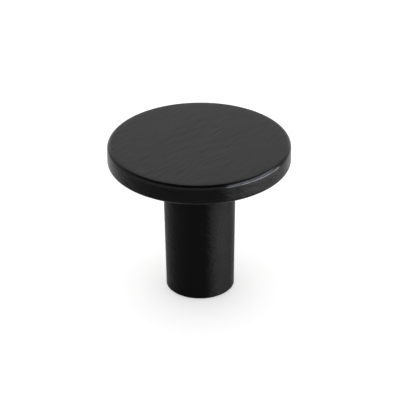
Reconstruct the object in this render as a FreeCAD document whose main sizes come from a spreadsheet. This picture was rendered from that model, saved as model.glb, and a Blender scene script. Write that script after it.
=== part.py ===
import FreeCAD, Part
import math
import os
import Sketcher

# Cabinet knob in one piece: a flat round head on a slim stem that tapers a little towards its foot.
# The foot stands on a drawer or door front, and a machine screw from behind holds it there.
# The origin is the centre of the foot, and +Z points away from the front, out to the head.
# Every size is in millimetres, every angle in degrees.

knobSizes = (
    ("headDiameter", 32.0, "across the flat round head"),
    ("projection", 28.0, "from the foot to the top face"),
    ("headThickness", 3.6, "height of the rim, its rounded edges included"),
    ("topEdgeRadius", 0.7, "rounded edge between top face and rim"),
    ("lowerEdgeRadius", 0.6, "rounded edge between rim and underside"),
    ("neckDiameter", 12.8, "stem where it meets the underside of the head"),
    ("footDiameter", 12.0, "stem where it stands on the front"),
    ("footChamfer", 0.2, "broken edge round the foot"),
    ("screwDiameter", 4.0, "machine screw that holds the knob, over its thread"),
    ("threadPitch", 0.7, "pitch of that thread, and what its tap drill leaves for it"),
    ("screwHoleDepth", 14.0, "screw hole at full width, without the drill point"),
    ("drillPointAngle", 118.0, "cone that the drill leaves at the bottom of the hole"),
    ("mouthClearance", 0.4, "mouth of the hole wider than the screw"),
    ("mouthAngle", 90.0, "countersink of the mouth, from side to side"),
)
size = {name: value for name, value, meaning in knobSizes}

doc = FreeCAD.newDocument("cabinetKnob")
sheet = doc.addObject("Spreadsheet::Sheet", "sizes")
for row, (name, value, meaning) in enumerate(knobSizes, start=1):
    sheet.set(f"A{row}", name)
    sheet.set(f"B{row}", str(value))
    sheet.set(f"C{row}", meaning)
    sheet.setAlias(f"B{row}", name)
doc.recompute()

body = doc.addObject("PartDesign::Body", "knob")
body.Label = "knob"
body.Placement = FreeCAD.Placement()


def originFeature(role):
    return next(feature for feature in body.Origin.OriginFeatures if feature.Role == role)


def newSketch(name, planeRole):
    sketch = body.newObject("Sketcher::SketchObject", name)
    sketch.AttachmentSupport = [(originFeature(planeRole), "")]
    sketch.MapMode = "FlatFace"
    return sketch


def bindConstraint(sketch, kind, places, name, value, formula):
    index = sketch.addConstraint(Sketcher.Constraint(kind, *places, value))
    sketch.renameConstraint(index, name)
    sketch.setExpression(f"Constraints.{name}", formula)


# Half section of the turned form, sharp-edged, from the middle of the foot round to the axis.
halfHead = size["headDiameter"] / 2
halfNeck = size["neckDiameter"] / 2
halfFoot = size["footDiameter"] / 2
undersideHeight = size["projection"] - size["headThickness"]
corners = [
    FreeCAD.Vector(0, 0, 0),
    FreeCAD.Vector(halfFoot, 0, 0),
    FreeCAD.Vector(halfNeck, undersideHeight, 0),
    FreeCAD.Vector(halfHead, undersideHeight, 0),
    FreeCAD.Vector(halfHead, size["projection"], 0),
    FreeCAD.Vector(0, size["projection"], 0),
]
foot, stemSide, underside, rim, topFace, axis = range(len(corners))

# How a sketch numbers the start, end and centre of a line or circle, and its own origin.
startPoint, endPoint, centrePoint = range(1, 4)
sketchOrigin = -1

section = newSketch("halfSection", "XZ_Plane")
for side, corner in enumerate(corners):
    nextCorner = corners[(side + 1) % len(corners)]
    section.addGeometry(Part.LineSegment(corner, nextCorner))
for side in range(len(corners)):
    nextSide = (side + 1) % len(corners)
    section.addConstraint(Sketcher.Constraint("Coincident", side, endPoint, nextSide, startPoint))
section.addConstraint(Sketcher.Constraint("Coincident", foot, startPoint, sketchOrigin, startPoint))
for level in (foot, underside, topFace):
    section.addConstraint(Sketcher.Constraint("Horizontal", level))
for upright in (rim, axis):
    section.addConstraint(Sketcher.Constraint("Vertical", upright))
bindConstraint(section, "DistanceX", (foot, startPoint, foot, endPoint),
               "footRadius", halfFoot, "sizes.footDiameter / 2")
bindConstraint(section, "DistanceX", (foot, startPoint, stemSide, endPoint),
               "neckRadius", halfNeck, "sizes.neckDiameter / 2")
bindConstraint(section, "DistanceX", (foot, startPoint, rim, startPoint),
               "headRadius", halfHead, "sizes.headDiameter / 2")
bindConstraint(section, "DistanceY", (foot, startPoint, rim, endPoint),
               "topHeight", size["projection"], "sizes.projection")
bindConstraint(section, "DistanceY", (rim, startPoint, rim, endPoint),
               "rimHeight", size["headThickness"], "sizes.headThickness")
doc.recompute()

turnedForm = body.newObject("PartDesign::Revolution", "turnedForm")
turnedForm.Profile = section
turnedForm.ReferenceAxis = (section, ["V_Axis"])
turnedForm.Angle = 360
doc.recompute()


def circleEdge(shape, radius, height):
    # Name of the full circle in the shape that has this radius and lies at this height.
    nearEnough = 1e-4
    for number, edge in enumerate(shape.Edges, start=1):
        if not isinstance(edge.Curve, Part.Circle):
            continue
        sameRadius = abs(edge.Curve.Radius - radius) < nearEnough
        sameHeight = abs(edge.Curve.Center.z - height) < nearEnough
        if sameRadius and sameHeight:
            return f"Edge{number}"
    raise ValueError(f"no circular edge of radius {radius} at height {height}")


def roundOff(base, name, radius, height, sizeName):
    fillet = body.newObject("PartDesign::Fillet", name)
    fillet.Base = (base, [circleEdge(base.Shape, radius, height)])
    fillet.setExpression("Radius", f"sizes.{sizeName}")
    doc.recompute()
    return fillet


topEdge = roundOff(turnedForm, "topEdge", halfHead, size["projection"], "topEdgeRadius")
lowerEdge = roundOff(topEdge, "lowerEdge", halfHead, undersideHeight, "lowerEdgeRadius")

footEdge = body.newObject("PartDesign::Chamfer", "footEdge")
footEdge.Base = (lowerEdge, [circleEdge(lowerEdge.Shape, halfFoot, 0)])
footEdge.setExpression("Size", "sizes.footChamfer")
doc.recompute()

# Blind screw hole up the middle of the stem. It has the width of the tap drill, which is the
# screw's diameter less its pitch, a drill point at its end and a countersunk mouth in the foot.
halfDrill = (size["screwDiameter"] - size["threadPitch"]) / 2
holeCentre = newSketch("holeCentre", "XY_Plane")
drillCircle = holeCentre.addGeometry(
    Part.Circle(FreeCAD.Vector(0, 0, 0), FreeCAD.Vector(0, 0, 1), halfDrill))
holeCentre.addConstraint(
    Sketcher.Constraint("Coincident", drillCircle, centrePoint, sketchOrigin, startPoint))
bindConstraint(holeCentre, "Radius", (drillCircle,),
               "drillRadius", halfDrill, "(sizes.screwDiameter - sizes.threadPitch) / 2")
doc.recompute()

screwHole = body.newObject("PartDesign::Hole", "screwHole")
screwHole.Profile = holeCentre
doc.recompute()
screwHole.Reversed = True
screwHole.ThreadType = "None"
screwHole.setExpression("Diameter", "sizes.screwDiameter - sizes.threadPitch")
screwHole.DepthType = "Dimension"
screwHole.setExpression("Depth", "sizes.screwHoleDepth")
screwHole.DrillPoint = "Angled"
screwHole.DrillForDepth = False
screwHole.setExpression("DrillPointAngle", "sizes.drillPointAngle")
screwHole.HoleCutType = "Countersink"
screwHole.setExpression("HoleCutDiameter", "sizes.screwDiameter + sizes.mouthClearance")
screwHole.setExpression("HoleCutCountersinkAngle", "sizes.mouthAngle")
body.Tip = screwHole
doc.recompute()

for item in doc.Objects:
    if "Invalid" in item.State or "Error" in item.State:
        raise RuntimeError(f"{item.Label} did not build: {item.State}")
if body.Shape.isNull() or not body.Shape.isValid():
    raise RuntimeError("knob is not a valid solid")

# A hole that pointed out of the foot would cut nothing, so what it takes out is compared with its bore.
boreVolume = math.pi * halfDrill ** 2 * size["screwHoleDepth"]
removedVolume = footEdge.Shape.Volume - body.Shape.Volume
if removedVolume < boreVolume:
    raise RuntimeError("the screw hole does not cut its full depth")

os.makedirs("parts", exist_ok=True)
body.Shape.exportStep(f"parts/{body.Label}.step")
bounds = body.Shape.optimalBoundingBox()
print(f"knob {bounds.XLength:.2f} x {bounds.YLength:.2f} x {bounds.ZLength:.2f} mm,",
      f"volume {body.Shape.Volume:.1f} mm3, the screw hole takes {removedVolume:.1f} mm3")
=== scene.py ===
import math

import bpy
from mathutils import Matrix, Vector


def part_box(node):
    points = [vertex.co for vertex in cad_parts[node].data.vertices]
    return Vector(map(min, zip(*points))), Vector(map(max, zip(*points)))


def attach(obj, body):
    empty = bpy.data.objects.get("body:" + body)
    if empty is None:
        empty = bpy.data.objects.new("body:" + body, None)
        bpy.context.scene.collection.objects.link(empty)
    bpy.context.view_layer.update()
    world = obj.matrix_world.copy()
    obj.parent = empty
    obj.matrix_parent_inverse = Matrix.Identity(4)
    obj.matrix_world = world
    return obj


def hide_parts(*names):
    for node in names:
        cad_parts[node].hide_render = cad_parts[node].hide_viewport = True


# Round cabinet knob in black brushed metal, standing on its foot on a white studio floor.
# Metres throughout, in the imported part's own frame: foot at the origin, head up along +Z.

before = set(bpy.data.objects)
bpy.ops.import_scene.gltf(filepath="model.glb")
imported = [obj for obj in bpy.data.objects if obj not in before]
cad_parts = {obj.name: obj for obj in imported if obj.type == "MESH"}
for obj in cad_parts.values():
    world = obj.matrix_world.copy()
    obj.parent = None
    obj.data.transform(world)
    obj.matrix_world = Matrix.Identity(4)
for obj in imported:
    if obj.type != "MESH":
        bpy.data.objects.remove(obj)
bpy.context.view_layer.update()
mm = 0.001

# Where a Mix node keeps its two inputs and its result, for each kind of value.
mixSockets = {"FLOAT": (2, 3, 0), "VECTOR": (4, 5, 1), "RGBA": (6, 7, 2)}


def setInput(tree, socket, value):
    # another node's output is linked, anything else becomes the input's own value
    if isinstance(value, bpy.types.NodeSocket):
        tree.links.new(value, socket)
    else:
        socket.default_value = value


def addNode(tree, kind, settings, inputs):
    node = tree.nodes.new(kind)
    for name, value in settings.items():
        setattr(node, name, value)
    for name, value in inputs.items():
        setInput(tree, node.inputs[name], value)
    return node


def calculate(tree, operation, *values):
    return addNode(tree, "ShaderNodeMath", {"operation": operation}, dict(enumerate(values))).outputs[0]


def combine(tree, x, y, z=0.0):
    return addNode(tree, "ShaderNodeCombineXYZ", {}, {"X": x, "Y": y, "Z": z}).outputs[0]


def rescale(tree, value, fromLow, fromHigh, toLow, toHigh):
    ends = {"Value": value, "From Min": fromLow, "From Max": fromHigh, "To Min": toLow, "To Max": toHigh}
    return addNode(tree, "ShaderNodeMapRange", {}, ends).outputs[0]


def mix(tree, kind, share, low, high):
    first, second, result = mixSockets[kind]
    values = {0: share, first: low, second: high}
    return addNode(tree, "ShaderNodeMix", {"data_type": kind}, values).outputs[result]


def axisDistance(tree, x, y):
    xSquared = calculate(tree, "MULTIPLY", x, x)
    ySquared = calculate(tree, "MULTIPLY", y, y)
    return calculate(tree, "SQRT", calculate(tree, "ADD", xSquared, ySquared))


# Knob: one turned form. Its half section runs from the middle of the top face to the drill point.
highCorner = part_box("knob")[1]
headThickness = 3.6 * mm
knobForm = {
    "head radius": highCorner.x,
    "projection": highCorner.z,
    "underside height": highCorner.z - headThickness,
    "top edge radius": 0.7 * mm,
    "lower edge radius": 0.6 * mm,
    "neck radius": 6.4 * mm,
    "neck hollow": 0.3 * mm,
    "foot radius": 6.0 * mm,
    "foot face radius": 5.8 * mm,
    "foot chamfer": 0.2 * mm,
    "mouth radius": 2.2 * mm,
    "mouth depth": 0.55 * mm,
    "bore radius": 1.65 * mm,          # tap drill
    "bore depth": 14.0 * mm,
    "drill point height": 14.99 * mm,
    "thread root radius": 2.0 * mm,    # M4
    "thread pitch": 0.7 * mm,
    "thread root flat": 0.125,         # share of the pitch
    "thread crest flat": 0.25,         # share of the pitch
    "thread end": 12.5 * mm,
    "thread run-out": 1.0 * mm,        # the tap's tapered first turns
    "face step": 1.0 * mm,
    "bore step": 0.07 * mm,            # ten rows to a turn of the thread
    "brush slant": math.radians(50),   # lines on the top face, from +X
}
knobSteps = {"steps around": 176, "steps in an edge": 12}
sharpAngle = math.radians(30)
axisRing = 0.001 * mm    # the profile turns on a ring this small, then the poles are merged
nearly = 0.01 * mm       # places closer than this count as the same


def turnedProfile(tree, size):
    # distance from the axis, height and edge radius of each corner
    corners = (
        (0.0, size["projection"], 0.0),
        (size["head radius"], size["projection"], size["top edge radius"]),
        (size["head radius"], size["underside height"], size["lower edge radius"]),
        (size["neck radius"], size["underside height"], size["neck hollow"]),
        (size["foot radius"], size["foot chamfer"], 0.0),
        (size["foot face radius"], 0.0, 0.0),
        (size["mouth radius"], 0.0, 0.0),
        (size["bore radius"], size["mouth depth"], 0.0),
        (size["bore radius"], size["bore depth"], 0.0),
        (0.0, size["drill point height"], 0.0),
    )
    number = tree.nodes.new("GeometryNodeInputIndex").outputs[0]

    def pickByNumber(dataType, values):
        switch = addNode(tree, "GeometryNodeIndexSwitch", {"data_type": dataType}, {0: number})
        while len(switch.index_switch_items) < len(values):
            switch.index_switch_items.new()
        for place, value in enumerate(values, start=1):
            setInput(tree, switch.inputs[place], value)
        return switch.outputs[0]

    # in the ring's own frame X points away from the axis and Y points down
    places = []
    for out, up, radius in corners:
        away = calculate(tree, "SUBTRACT", out, axisRing)
        places.append(combine(tree, away, calculate(tree, "MULTIPLY", up, -1.0)))
    edgeRadii = [radius for out, up, radius in corners]
    points = addNode(tree, "GeometryNodePoints", {},
                     {"Count": len(corners), "Position": pickByNumber("VECTOR", places)})
    line = addNode(tree, "GeometryNodePointsToCurves", {}, {"Points": points.outputs[0]})
    line = addNode(tree, "GeometryNodeCurveSplineType", {"spline_type": "POLY"}, {"Curve": line.outputs[0]})
    rounded = addNode(tree, "GeometryNodeFilletCurve", {"mode": "POLY"}, {
        "Curve": line.outputs[0], "Count": size["steps in an edge"],
        "Radius": pickByNumber("FLOAT", edgeRadii)})

    # each stretch is cut into even steps, fine ones along the bore for its thread
    here = tree.nodes.new("GeometryNodeInputPosition").outputs[0]
    following = addNode(tree, "GeometryNodeFieldAtIndex", {"data_type": "FLOAT_VECTOR", "domain": "POINT"},
                        {"Index": calculate(tree, "ADD", number, 1)})
    setInput(tree, next(s for s in following.inputs if s.name == "Value" and s.enabled), here)
    nextPlace = next(s for s in following.outputs if s.enabled)
    stretch = addNode(tree, "ShaderNodeVectorMath", {"operation": "DISTANCE"}, {0: here, 1: nextPlace})
    out = addNode(tree, "ShaderNodeSeparateXYZ", {}, {0: here}).outputs["X"]
    nextOut = addNode(tree, "ShaderNodeSeparateXYZ", {}, {0: nextPlace}).outputs["X"]
    onBore = calculate(tree, "MULTIPLY", calculate(tree, "COMPARE", out, size["bore radius"], nearly),
                       calculate(tree, "COMPARE", nextOut, size["bore radius"], nearly))
    step = rescale(tree, onBore, 0.0, 1.0, size["face step"], size["bore step"])
    cuts = calculate(tree, "FLOOR", calculate(tree, "DIVIDE", stretch.outputs["Value"], step))
    stepped = addNode(tree, "GeometryNodeSubdivideCurve", {}, {"Curve": rounded.outputs[0], "Cuts": cuts})
    return stepped.outputs[0]


def threadedPlace(tree, size, x, y, z, radius):
    # right-hand V thread, flat on crests and roots, cut outwards from the bore
    turn = calculate(tree, "DIVIDE", calculate(tree, "ARCTAN2", y, x), math.tau)
    turnsUp = calculate(tree, "DIVIDE", z, size["thread pitch"])
    phase = calculate(tree, "FRACT", calculate(tree, "SUBTRACT", turnsUp, turn))
    fromRoot = calculate(tree, "ABSOLUTE", calculate(tree, "MULTIPLY_ADD", phase, 2.0, -1.0))
    crestStart = calculate(tree, "SUBTRACT", 1.0, size["thread crest flat"])
    groove = rescale(tree, fromRoot, size["thread root flat"], crestStart, 1.0, 0.0)
    runOutStart = calculate(tree, "SUBTRACT", size["thread end"], size["thread run-out"])
    fullness = rescale(tree, z, runOutStart, size["thread end"], 1.0, 0.0)
    depth = calculate(tree, "SUBTRACT", size["thread root radius"], size["bore radius"])
    wall = calculate(tree, "MULTIPLY_ADD", calculate(tree, "MULTIPLY", groove, fullness), depth,
                     size["bore radius"])
    growth = calculate(tree, "DIVIDE", calculate(tree, "MAXIMUM", radius, wall), radius)
    return combine(tree, calculate(tree, "MULTIPLY", x, growth), calculate(tree, "MULTIPLY", y, growth), z)


def buildKnobTree():
    tree = bpy.data.node_groups.new("turnedKnob", "GeometryNodeTree")
    interface = tree.interface
    interface.new_socket("Geometry", in_out="INPUT", socket_type="NodeSocketGeometry")
    for name in knobForm:
        interface.new_socket(name, in_out="INPUT", socket_type="NodeSocketFloat")
    for name in knobSteps:
        interface.new_socket(name, in_out="INPUT", socket_type="NodeSocketInt")
    interface.new_socket("finish", in_out="INPUT", socket_type="NodeSocketMaterial")
    interface.new_socket("Geometry", in_out="OUTPUT", socket_type="NodeSocketGeometry")
    size = tree.nodes.new("NodeGroupInput").outputs

    ring = addNode(tree, "GeometryNodeCurvePrimitiveCircle", {"mode": "RADIUS"},
                   {"Resolution": size["steps around"], "Radius": axisRing})
    upright = addNode(tree, "GeometryNodeSetCurveNormal", {"mode": "Z_UP"}, {"Curve": ring.outputs[0]})
    turned = addNode(tree, "GeometryNodeCurveToMesh", {},
                     {"Curve": upright.outputs[0], "Profile Curve": turnedProfile(tree, size)})
    closed = addNode(tree, "GeometryNodeMergeByDistance", {},
                     {"Geometry": turned.outputs[0], "Distance": 2 * axisRing})

    place = tree.nodes.new("GeometryNodeInputPosition").outputs[0]
    x, y, z = addNode(tree, "ShaderNodeSeparateXYZ", {}, {0: place}).outputs
    radius = axisDistance(tree, x, y)
    tapped = addNode(tree, "GeometryNodeSetPosition", {}, {
        "Geometry": closed.outputs[0], "Selection": calculate(tree, "LESS_THAN", z, size["thread end"]),
        "Position": threadedPlace(tree, size, x, y, z, radius)})

    # brush lines run straight over the flat of the top face, and round the axis everywhere else
    flatRadius = calculate(tree, "SUBTRACT", size["head radius"], size["top edge radius"])
    onFlat = calculate(tree, "LESS_THAN", radius, calculate(tree, "ADD", flatRadius, nearly))
    justAbove = calculate(tree, "ADD", size["underside height"], nearly)
    onTop = calculate(tree, "MULTIPLY", onFlat, calculate(tree, "GREATER_THAN", z, justAbove))
    straight = combine(tree, calculate(tree, "COSINE", size["brush slant"]),
                       calculate(tree, "SINE", size["brush slant"]))
    safeRadius = calculate(tree, "MAXIMUM", radius, axisRing)
    aroundAxis = combine(tree, calculate(tree, "DIVIDE", calculate(tree, "MULTIPLY", y, -1.0), safeRadius),
                         calculate(tree, "DIVIDE", x, safeRadius))
    along = mix(tree, "VECTOR", onTop, aroundAxis, straight)
    normal = tree.nodes.new("GeometryNodeInputNormal").outputs[0]
    across = addNode(tree, "ShaderNodeVectorMath", {"operation": "CROSS_PRODUCT"}, {0: normal, 1: along})
    marks = (("topFace", "FLOAT", onTop), ("acrossLines", "FLOAT_VECTOR", across.outputs[0]))
    marked = tapped.outputs[0]
    for name, dataType, value in marks:
        marked = addNode(tree, "GeometryNodeStoreNamedAttribute",
                         {"data_type": dataType, "domain": "POINT"},
                         {"Geometry": marked, "Name": name, "Value": value}).outputs[0]
    smooth = addNode(tree, "GeometryNodeSetShadeSmooth", {}, {"Geometry": marked})
    real = addNode(tree, "GeometryNodeRealizeInstances", {}, {"Geometry": smooth.outputs[0]})
    finished = addNode(tree, "GeometryNodeSetMaterial", {},
                       {"Geometry": real.outputs[0], "Material": size["finish"]})
    addNode(tree, "NodeGroupOutput", {}, {0: finished.outputs[0]})
    return tree


# Finish: satin black over brushed metal. The lines are fine scratches, so they tilt and roughen it.
finishLook = {
    "black": (0.0058, 0.0058, 0.0058, 1.0),
    "worn black": (0.0080, 0.0079, 0.0078, 1.0),
    "painted edge highlight": (0.0160, 0.0164, 0.0178, 1.0),    # painted highlight: a brighter, bluish colour over the upper rounded edge that stands in for its highlight
    "top roughness": 0.20,
    "rim roughness": 0.31,
    "edge roughness": 0.24,               # both rounded edges of the head
    "stem roughness": 0.46,
    "edge fade": 0.15 * mm,               # height over which an edge's finish takes over
    "head margin": 0.05 * mm,             # the head's finish starts this far below its underside
    "roughness change": 0.05,             # from line to line
    "stretch": 0.96,                      # how far a highlight spreads across the lines
    "slanting look": (0.85, 0.85, 0.85, 1.0),    # how bright it gets where it is seen nearly edge-on
    "top line length": 4.0 * mm,
    "rim line length": 2.4 * mm,
    "stem line length": 0.9 * mm,
    "line width": 0.38 * mm,
    "line detail": 1.5,
    "top line depth": 0.070 * mm,
    "rim line depth": 0.11 * mm,
    "edge line depth": 0.02 * mm,
    "stem line depth": 0.10 * mm,
    "crossing slant": math.radians(37),   # of a second, fainter set of scratches over rim and stem
    "crossing share": 0.40,
    "band length": 20.0 * mm,
    "band width": 1.4 * mm,
    "band detail": 2.0,
    "band share": 0.4,                    # of bands against lines, in colour and roughness
    "noise roughness": 0.6,
    "noise range": (0.35, 0.65),          # where most of the noise lies
}


def buildFinish():
    material = bpy.data.materials.new("blackBrushedMetal")
    material.use_nodes = True
    tree = material.node_tree
    surface = tree.nodes["Principled BSDF"]
    place = tree.nodes.new("ShaderNodeTexCoord").outputs["Object"]
    x, y, z = addNode(tree, "ShaderNodeSeparateXYZ", {}, {0: place}).outputs
    upAndOut = calculate(tree, "SUBTRACT", z, axisDistance(tree, x, y))
    underside = knobForm["underside height"]
    onHead = calculate(tree, "GREATER_THAN", z, underside - finishLook["head margin"])
    onTop = addNode(tree, "ShaderNodeAttribute", {"attribute_name": "topFace"}, {}).outputs["Fac"]
    upperEdge = knobForm["projection"] - knobForm["top edge radius"]
    lowerEdge = underside + knobForm["lower edge radius"]
    fade = finishLook["edge fade"]
    onUpperEdge = rescale(tree, z, upperEdge, upperEdge + fade, 0.0, 1.0)
    onLowerEdge = rescale(tree, z, lowerEdge - fade, lowerEdge, 1.0, 0.0)
    onEdge = calculate(tree, "MAXIMUM", onUpperEdge, onLowerEdge)

    def noise(coordinates, detail):
        return addNode(tree, "ShaderNodeTexNoise", {}, {
            "Vector": coordinates, "Scale": 1.0, "Detail": detail,
            "Roughness": finishLook["noise roughness"]}).outputs[0]

    def choose(share, low, high):
        return mix(tree, "FLOAT", share, low, high)

    def straightLines(rotation, scale, detail):
        turned = addNode(tree, "ShaderNodeMapping", {"vector_type": "TEXTURE"}, {
            "Vector": place, "Rotation": rotation, "Scale": scale})
        return noise(turned.outputs[0], detail)

    def roundLines(length, width, detail):
        around = combine(tree, calculate(tree, "DIVIDE", x, length), calculate(tree, "DIVIDE", y, length),
                         calculate(tree, "DIVIDE", upAndOut, width))
        return noise(around, detail)

    width, lineDetail = finishLook["line width"], finishLook["line detail"]
    topLength, rimLength = finishLook["top line length"], finishLook["rim line length"]
    slant = (0.0, 0.0, knobForm["brush slant"])
    topLines = straightLines(slant, (topLength, width, topLength), lineDetail)
    crossingSlant = (0.0, finishLook["crossing slant"], 0.0)
    crossing = straightLines(crossingSlant, (rimLength, rimLength, width), lineDetail)
    sideLength = rescale(tree, onHead, 0.0, 1.0, finishLook["stem line length"], rimLength)
    sideLines = roundLines(sideLength, width, lineDetail)
    lines = choose(onTop, choose(finishLook["crossing share"], sideLines, crossing), topLines)

    bandLength, bandWidth = finishLook["band length"], finishLook["band width"]
    bandDetail, bandShare = finishLook["band detail"], finishLook["band share"]
    topBands = straightLines(slant, (bandLength, bandWidth, bandLength), bandDetail)
    bands = choose(onTop, roundLines(bandLength, bandWidth, bandDetail), topBands)
    fromLines = calculate(tree, "MULTIPLY", lines, 1.0 - bandShare)
    both = calculate(tree, "MULTIPLY_ADD", bands, bandShare, fromLines)
    low, high = finishLook["noise range"]
    wear = rescale(tree, both, low, high, 0.0, 1.0)
    worn = mix(tree, "RGBA", wear, finishLook["black"], finishLook["worn black"])
    # painted highlight: off the top face, the upper rounded edge takes a brighter, bluish colour in place
    # of its highlight
    paintedHighlight = calculate(tree, "MULTIPLY", onUpperEdge, calculate(tree, "SUBTRACT", 1.0, onTop))
    colour = mix(tree, "RGBA", paintedHighlight, worn, finishLook["painted edge highlight"])

    def byPlace(name):
        head = choose(onEdge, finishLook["rim " + name], finishLook["edge " + name])
        return choose(onTop, choose(onHead, finishLook["stem " + name], head), finishLook["top " + name])

    change = finishLook["roughness change"]
    rough = calculate(tree, "ADD", byPlace("roughness"), rescale(tree, both, low, high, -change, change))
    bump = addNode(tree, "ShaderNodeBump", {}, {
        "Height": lines, "Strength": 1.0, "Distance": byPlace("line depth")})
    acrossLines = addNode(tree, "ShaderNodeAttribute", {"attribute_name": "acrossLines"}, {})
    tree.links.new(colour, surface.inputs["Base Color"])
    tree.links.new(rough, surface.inputs["Roughness"])
    tree.links.new(bump.outputs[0], surface.inputs["Normal"])
    tree.links.new(acrossLines.outputs["Vector"], surface.inputs["Tangent"])
    surface.inputs["Metallic"].default_value = 1.0
    surface.inputs["Anisotropic"].default_value = finishLook["stretch"]
    surface.inputs["Specular Tint"].default_value = finishLook["slanting look"]
    return material


def turnKnob(finish):
    tree = buildKnobTree()
    blank = bpy.data.objects.new("blank", bpy.data.meshes.new("blank"))
    bpy.context.scene.collection.objects.link(blank)
    lathe = blank.modifiers.new("lathe", "NODES")
    lathe.node_group = tree
    settings = {**knobForm, **knobSteps, "finish": finish}
    for item in tree.interface.items_tree:
        if item.in_out == "INPUT" and item.name in settings:
            lathe[item.identifier] = settings[item.name]
    turned = blank.evaluated_get(bpy.context.evaluated_depsgraph_get())
    mesh = bpy.data.meshes.new_from_object(turned)
    mesh.name = "turned_knob"
    mesh.set_sharp_from_angle(angle=sharpAngle)
    bpy.data.objects.remove(blank)
    knob = bpy.data.objects.new("turned_knob", mesh)
    bpy.context.scene.collection.objects.link(knob)
    return knob


knob = turnKnob(buildFinish())
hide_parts("knob")
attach(knob, "root")
print("knob turned:", len(knob.data.polygons), "faces")


# Studio: white floor and surroundings, a faint soft light behind, a high lamp and low cards on the right.
studio = {
    "floor size": 3.0,
    "floor gap": 0.03 * mm,              # just under the foot
    "floor white": (0.80, 0.80, 0.80, 1.0),
    "floor lift": 0.38,                  # what the backdrop adds for the camera and in reflections
    "surroundings": (0.94, 0.94, 0.94, 1.0),
    "ceiling": (33, 50),                 # degrees up, from where it starts to where it is full
    "ceiling light": 0.05,
}
# Each is a lit rectangle turned towards the knob's axis: degrees to the right of the camera and up,
# how far off, the level on the axis that it is aimed at, then its width and height. Those on the
# right are only there for their reflections. The cards end just below the top face, so they never
# light it, and the high lamp leaves it a quiet grey where it is seen from behind.
card = {"distance": 80 * mm, "level": 20.8 * mm, "height": 14 * mm,
        "colour": (1.0, 1.0, 1.0), "lights floor": False}
litPanels = {
    "behind": {"towards": (180, 35), "distance": 900 * mm, "level": 14 * mm,
               "width": 1260 * mm, "height": 655 * mm,
               "brightness": 0.65, "colour": (1.0, 0.98, 0.96), "lights floor": True},
    "highLamp": {"towards": (74, 38), "distance": 900 * mm, "level": 27 * mm,
                 "width": 1040 * mm, "height": 170 * mm,
                 "brightness": 18.0, "colour": (0.93, 0.97, 1.0), "lights floor": False},
    "frontCard": {**card, "towards": (38, 0), "width": 25 * mm, "brightness": 22.0},
    "mainCard": {**card, "towards": (65, 0), "width": 52 * mm, "brightness": 42.0},
    "sideCard": {**card, "towards": (92, 0), "width": 25 * mm, "brightness": 24.0},
}


def isSeen(tree):
    # camera, mirror and see-through rays meet the white backdrop itself
    path = tree.nodes.new("ShaderNodeLightPath").outputs
    seen = calculate(tree, "MAXIMUM", path["Is Camera Ray"], path["Is Glossy Ray"])
    return calculate(tree, "MAXIMUM", seen, path["Is Transmission Ray"])


def layFloor():
    half = studio["floor size"] / 2
    low = -studio["floor gap"]
    mesh = bpy.data.meshes.new("studioFloor")
    mesh.from_pydata([(-half, -half, low), (half, -half, low), (half, half, low), (-half, half, low)],
                     [], [(0, 1, 2, 3)])
    material = bpy.data.materials.new("whiteFloor")
    material.use_nodes = True
    tree = material.node_tree
    tree.nodes.clear()
    matt = addNode(tree, "ShaderNodeBsdfDiffuse", {}, {"Color": studio["floor white"]})
    lift = addNode(tree, "ShaderNodeEmission", {}, {
        "Strength": calculate(tree, "MULTIPLY", isSeen(tree), studio["floor lift"])})
    lit = addNode(tree, "ShaderNodeAddShader", {}, {0: matt.outputs[0], 1: lift.outputs[0]})
    # seen from underneath it is clear, so that it doesn't hide the foot
    clear = tree.nodes.new("ShaderNodeBsdfTransparent")
    underneath = tree.nodes.new("ShaderNodeNewGeometry").outputs["Backfacing"]
    either = addNode(tree, "ShaderNodeMixShader", {}, {
        0: underneath, 1: lit.outputs[0], 2: clear.outputs[0]})
    addNode(tree, "ShaderNodeOutputMaterial", {}, {"Surface": either.outputs[0]})
    mesh.materials.append(material)
    floor = bpy.data.objects.new("studioFloor", mesh)
    bpy.context.scene.collection.objects.link(floor)


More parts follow.
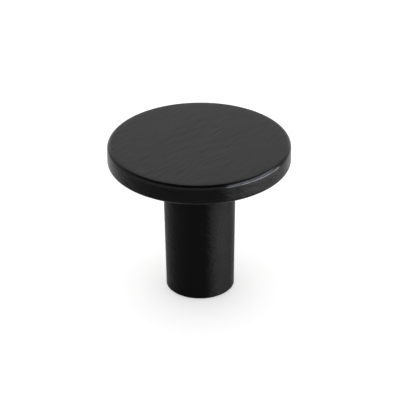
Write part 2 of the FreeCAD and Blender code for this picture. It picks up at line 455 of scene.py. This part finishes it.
def lightSurroundings():
    world = bpy.data.worlds.new("whiteStudio")
    world.use_nodes = True
    tree = world.node_tree
    tree.nodes.clear()
    soft = addNode(tree, "ShaderNodeBackground", {}, {"Color": studio["surroundings"]})
    white = addNode(tree, "ShaderNodeBackground", {}, {"Color": (1.0, 1.0, 1.0, 1.0)})
    # straight overhead there is only the dark ceiling, which the head's rounded edge picks up
    direction = tree.nodes.new("ShaderNodeTexCoord").outputs["Generated"]
    upwards = addNode(tree, "ShaderNodeSeparateXYZ", {}, {0: direction}).outputs["Z"]
    ceilingStart, ceilingFull = (math.sin(math.radians(angle)) for angle in studio["ceiling"])
    overhead = rescale(tree, upwards, ceilingStart, ceilingFull, 0.0, 1.0)
    mirrored = tree.nodes.new("ShaderNodeLightPath").outputs["Is Glossy Ray"]
    ceiling = calculate(tree, "MULTIPLY", mirrored, overhead)
    strength = rescale(tree, ceiling, 0.0, 1.0, 1.0, studio["ceiling light"])
    setInput(tree, white.inputs["Strength"], strength)
    either = addNode(tree, "ShaderNodeMixShader", {}, {
        0: isSeen(tree), 1: soft.outputs[0], 2: white.outputs[0]})
    addNode(tree, "ShaderNodeOutputWorld", {}, {"Surface": either.outputs[0]})
    bpy.context.scene.world = world


def hangPanel(name, panel):
    turn, rise = (math.radians(angle) for angle in panel["towards"])
    reach = math.cos(rise)
    towards = Vector((math.sin(turn) * reach, -math.cos(turn) * reach, math.sin(rise)))
    lamp = bpy.data.lights.new(name, "AREA")
    lamp.shape = "RECTANGLE"
    lamp.size = panel["width"]
    lamp.size_y = panel["height"]
    lamp.energy = panel["brightness"] * math.pi * panel["width"] * panel["height"]
    lamp.color = panel["colour"]
    light = bpy.data.objects.new(name, lamp)
    light.location = Vector((0.0, 0.0, panel["level"])) + panel["distance"] * towards
    light.rotation_euler = (-towards).to_track_quat("-Z", "Y").to_euler()
    light.visible_diffuse = panel["lights floor"]
    bpy.context.scene.collection.objects.link(light)


# Camera: fitted to the photo's outline, a long lens looking down at 29 degrees.
view = {
    "back": 416.0 * mm,
    "height": 247.0 * mm,
    "aim": (0.08 * mm, 0.0, 16.67 * mm),
    "roll": math.radians(-0.484),
    "focal length": 243.8,
    "sensor width": 36.0,
}


def placeCamera():
    data = bpy.data.cameras.new("studioCamera")
    data.lens = view["focal length"]
    data.sensor_width = view["sensor width"]
    camera = bpy.data.objects.new("studioCamera", data)
    camera.location = (0.0, -view["back"], view["height"])
    forward = Vector(view["aim"]) - camera.location
    turn = forward.to_track_quat("-Z", "Y").to_matrix() @ Matrix.Rotation(view["roll"], 3, "Z")
    camera.rotation_euler = turn.to_euler()
    bpy.context.scene.collection.objects.link(camera)
    bpy.context.scene.camera = camera


layFloor()
lightSurroundings()
for name, panel in litPanels.items():
    hangPanel(name, panel)
placeCamera()
bpy.context.scene.view_settings.view_transform = "Standard"
print("studio lit")
